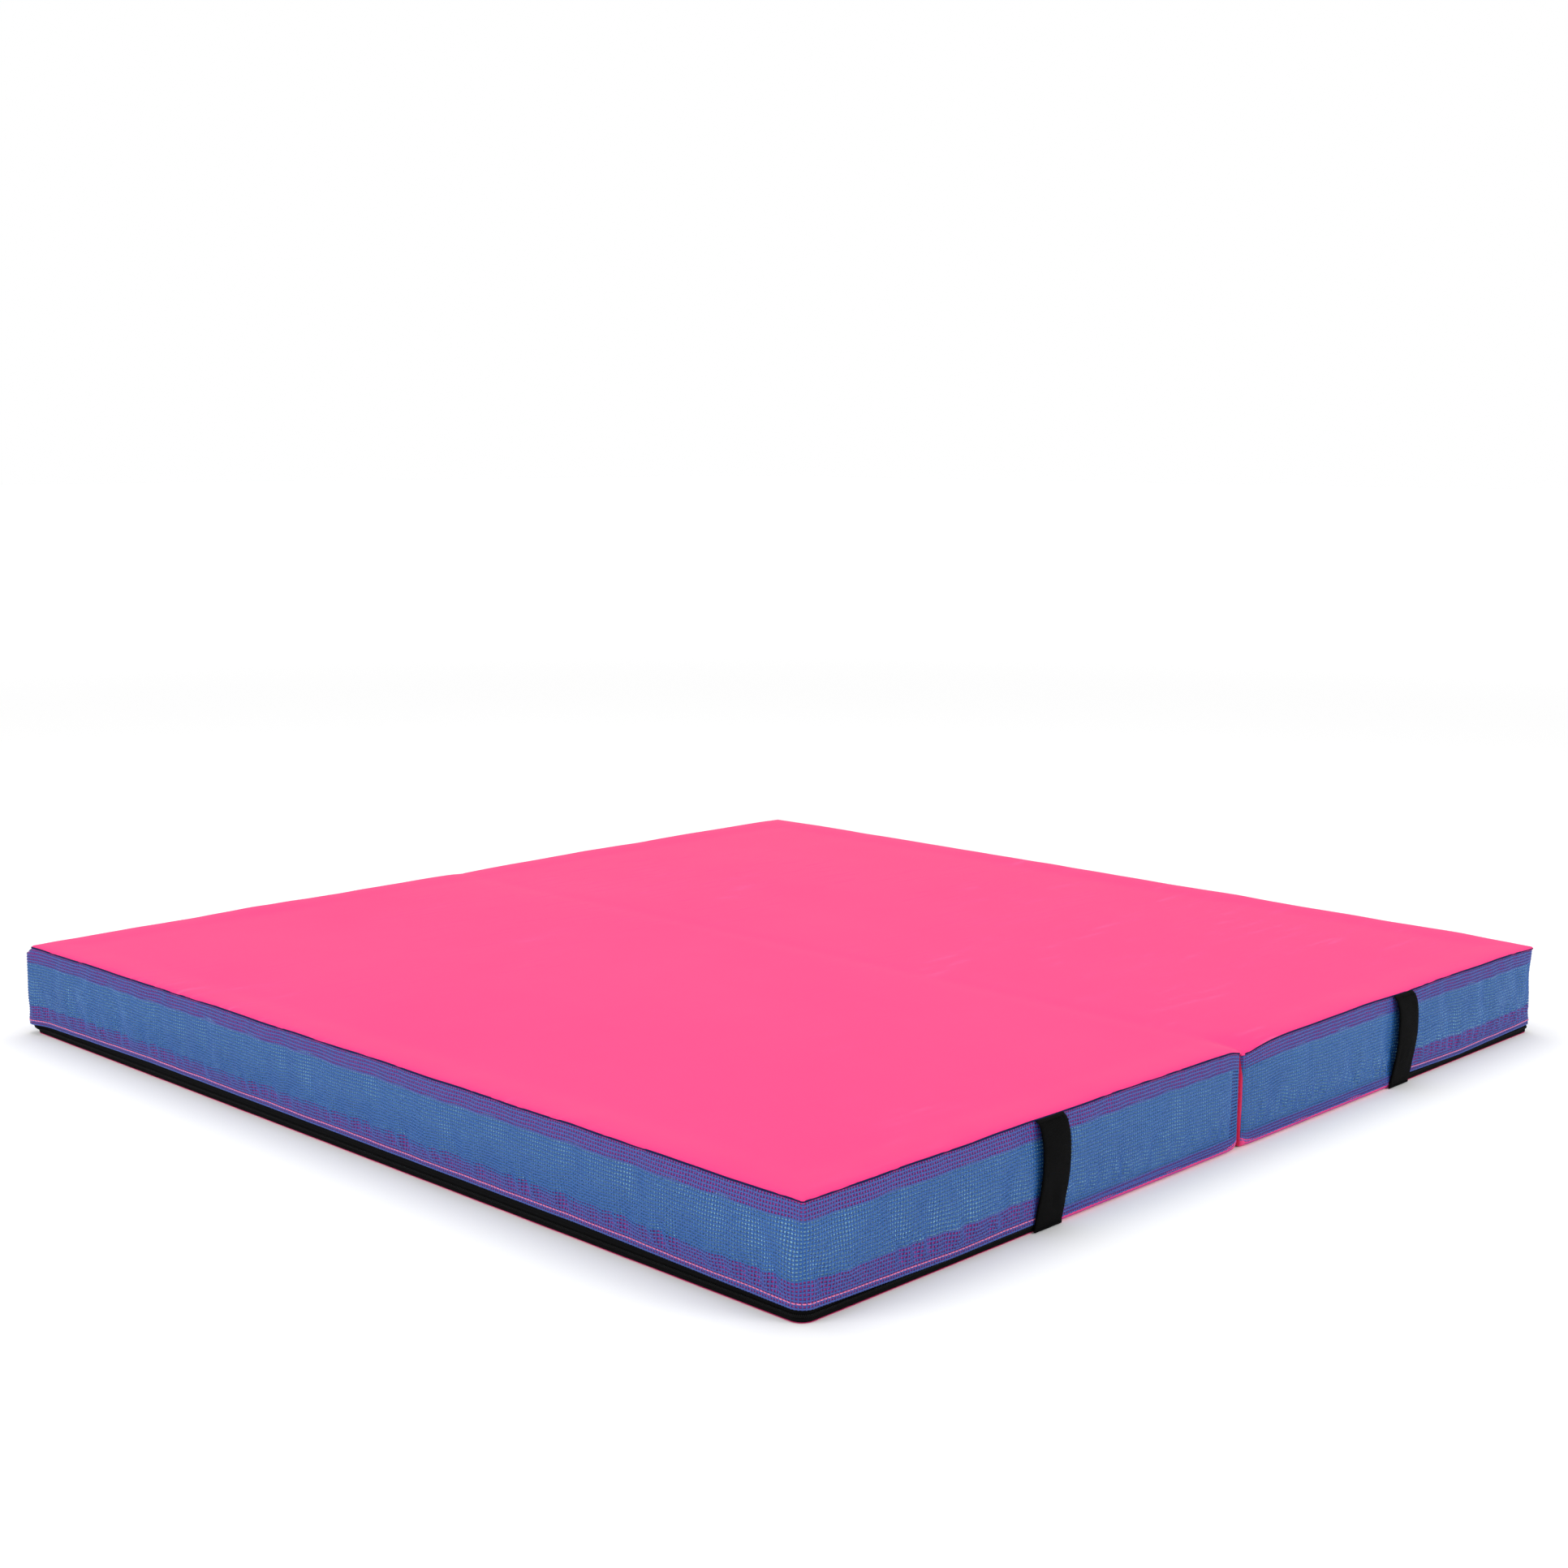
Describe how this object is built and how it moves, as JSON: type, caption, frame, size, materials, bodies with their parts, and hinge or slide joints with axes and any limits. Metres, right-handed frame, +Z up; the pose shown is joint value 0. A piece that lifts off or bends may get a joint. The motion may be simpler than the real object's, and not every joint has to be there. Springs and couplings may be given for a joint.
{
  "type": "folding gym mat",
  "caption": "Padded mat in two halves that folds flat along the middle, with mesh sides, zipped cover and webbing straps.",
  "frame": {"origin": "on the floor, below the middle of the fold", "axes": "+X across the fold from half a to half b, +Y along the fold towards the zip sliders, +Z up"},
  "size_m": [1.2, 1.219, 0.1],
  "materials": {
    "foam": "matte",
    "top_sheet": "satin",
    "bottom_sheet": "satin",
    "fold_sheet": "satin",
    "side_mesh": "satin",
    "facing": "satin",
    "topstitch": "satin",
    "zip_tape": "matte",
    "zip_coil": "satin",
    "slider_metal": "satin",
    "webbing": "matte",
    "tack_thread": "satin"
  },
  "bodies": {
    "half_a": {"foam_core_a": "foam", "top_panel_a": "top_sheet", "bottom_panel_a": "bottom_sheet", "fold_wall_a": "fold_sheet", "mesh_wall_a": "side_mesh", "top_facing_a": "facing", "bottom_facing_a": "facing", "hem_stitching_a": "topstitch", "zip_upper_tape_a": "zip_tape", "zip_lower_tape_a": "zip_tape", "zip_upper_coil_a": "zip_coil", "zip_lower_coil_a": "zip_coil", "near_strap_a": "webbing", "far_strap_a": "webbing", "strap_tacks_a": "tack_thread"},
    "half_b": {"foam_core_b": "foam", "top_panel_b": "top_sheet", "bottom_panel_b": "bottom_sheet", "fold_wall_b": "fold_sheet", "mesh_wall_b": "side_mesh", "top_facing_b": "facing", "bottom_facing_b": "facing", "hem_stitching_b": "topstitch", "zip_upper_tape_b": "zip_tape", "zip_lower_tape_b": "zip_tape", "zip_upper_coil_b": "zip_coil", "zip_lower_coil_b": "zip_coil", "near_strap_b": "webbing", "far_strap_b": "webbing", "strap_tacks_b": "tack_thread"},
    "zip_slider_a": {"zip_slider_a": "slider_metal"},
    "zip_pull_a": {"zip_pull_a": "slider_metal"},
    "zip_slider_b": {"zip_slider_b": "slider_metal"},
    "zip_pull_b": {"zip_pull_b": "slider_metal"}
  },
  "joints": [
    {"name": "fold_hinge", "type": "hinge", "parent": "half_a", "child": "half_b", "pos_m": [0, 0, 0.102], "axis": [0, -1, 0], "range_deg": [0, 179.5]},
    {"name": "zip_a_slide", "type": "slide", "parent": "half_a", "child": "zip_slider_a", "axis": [-1, 0, 0], "range_m": [0, 0.22]},
    {"name": "zip_a_pull", "type": "hinge", "parent": "zip_slider_a", "child": "zip_pull_a", "pos_m": [-0.342, 0.6023, 0.0058], "axis": [0, 0, -1], "range_deg": [0, 175]},
    {"name": "zip_b_slide", "type": "slide", "parent": "half_b", "child": "zip_slider_b", "axis": [1, 0, 0], "range_m": [0, 0.22]},
    {"name": "zip_b_pull", "type": "hinge", "parent": "zip_slider_b", "child": "zip_pull_b", "pos_m": [0.342, 0.6023, 0.0058], "axis": [0, 0, 1], "range_deg": [0, 175]}
  ]
}
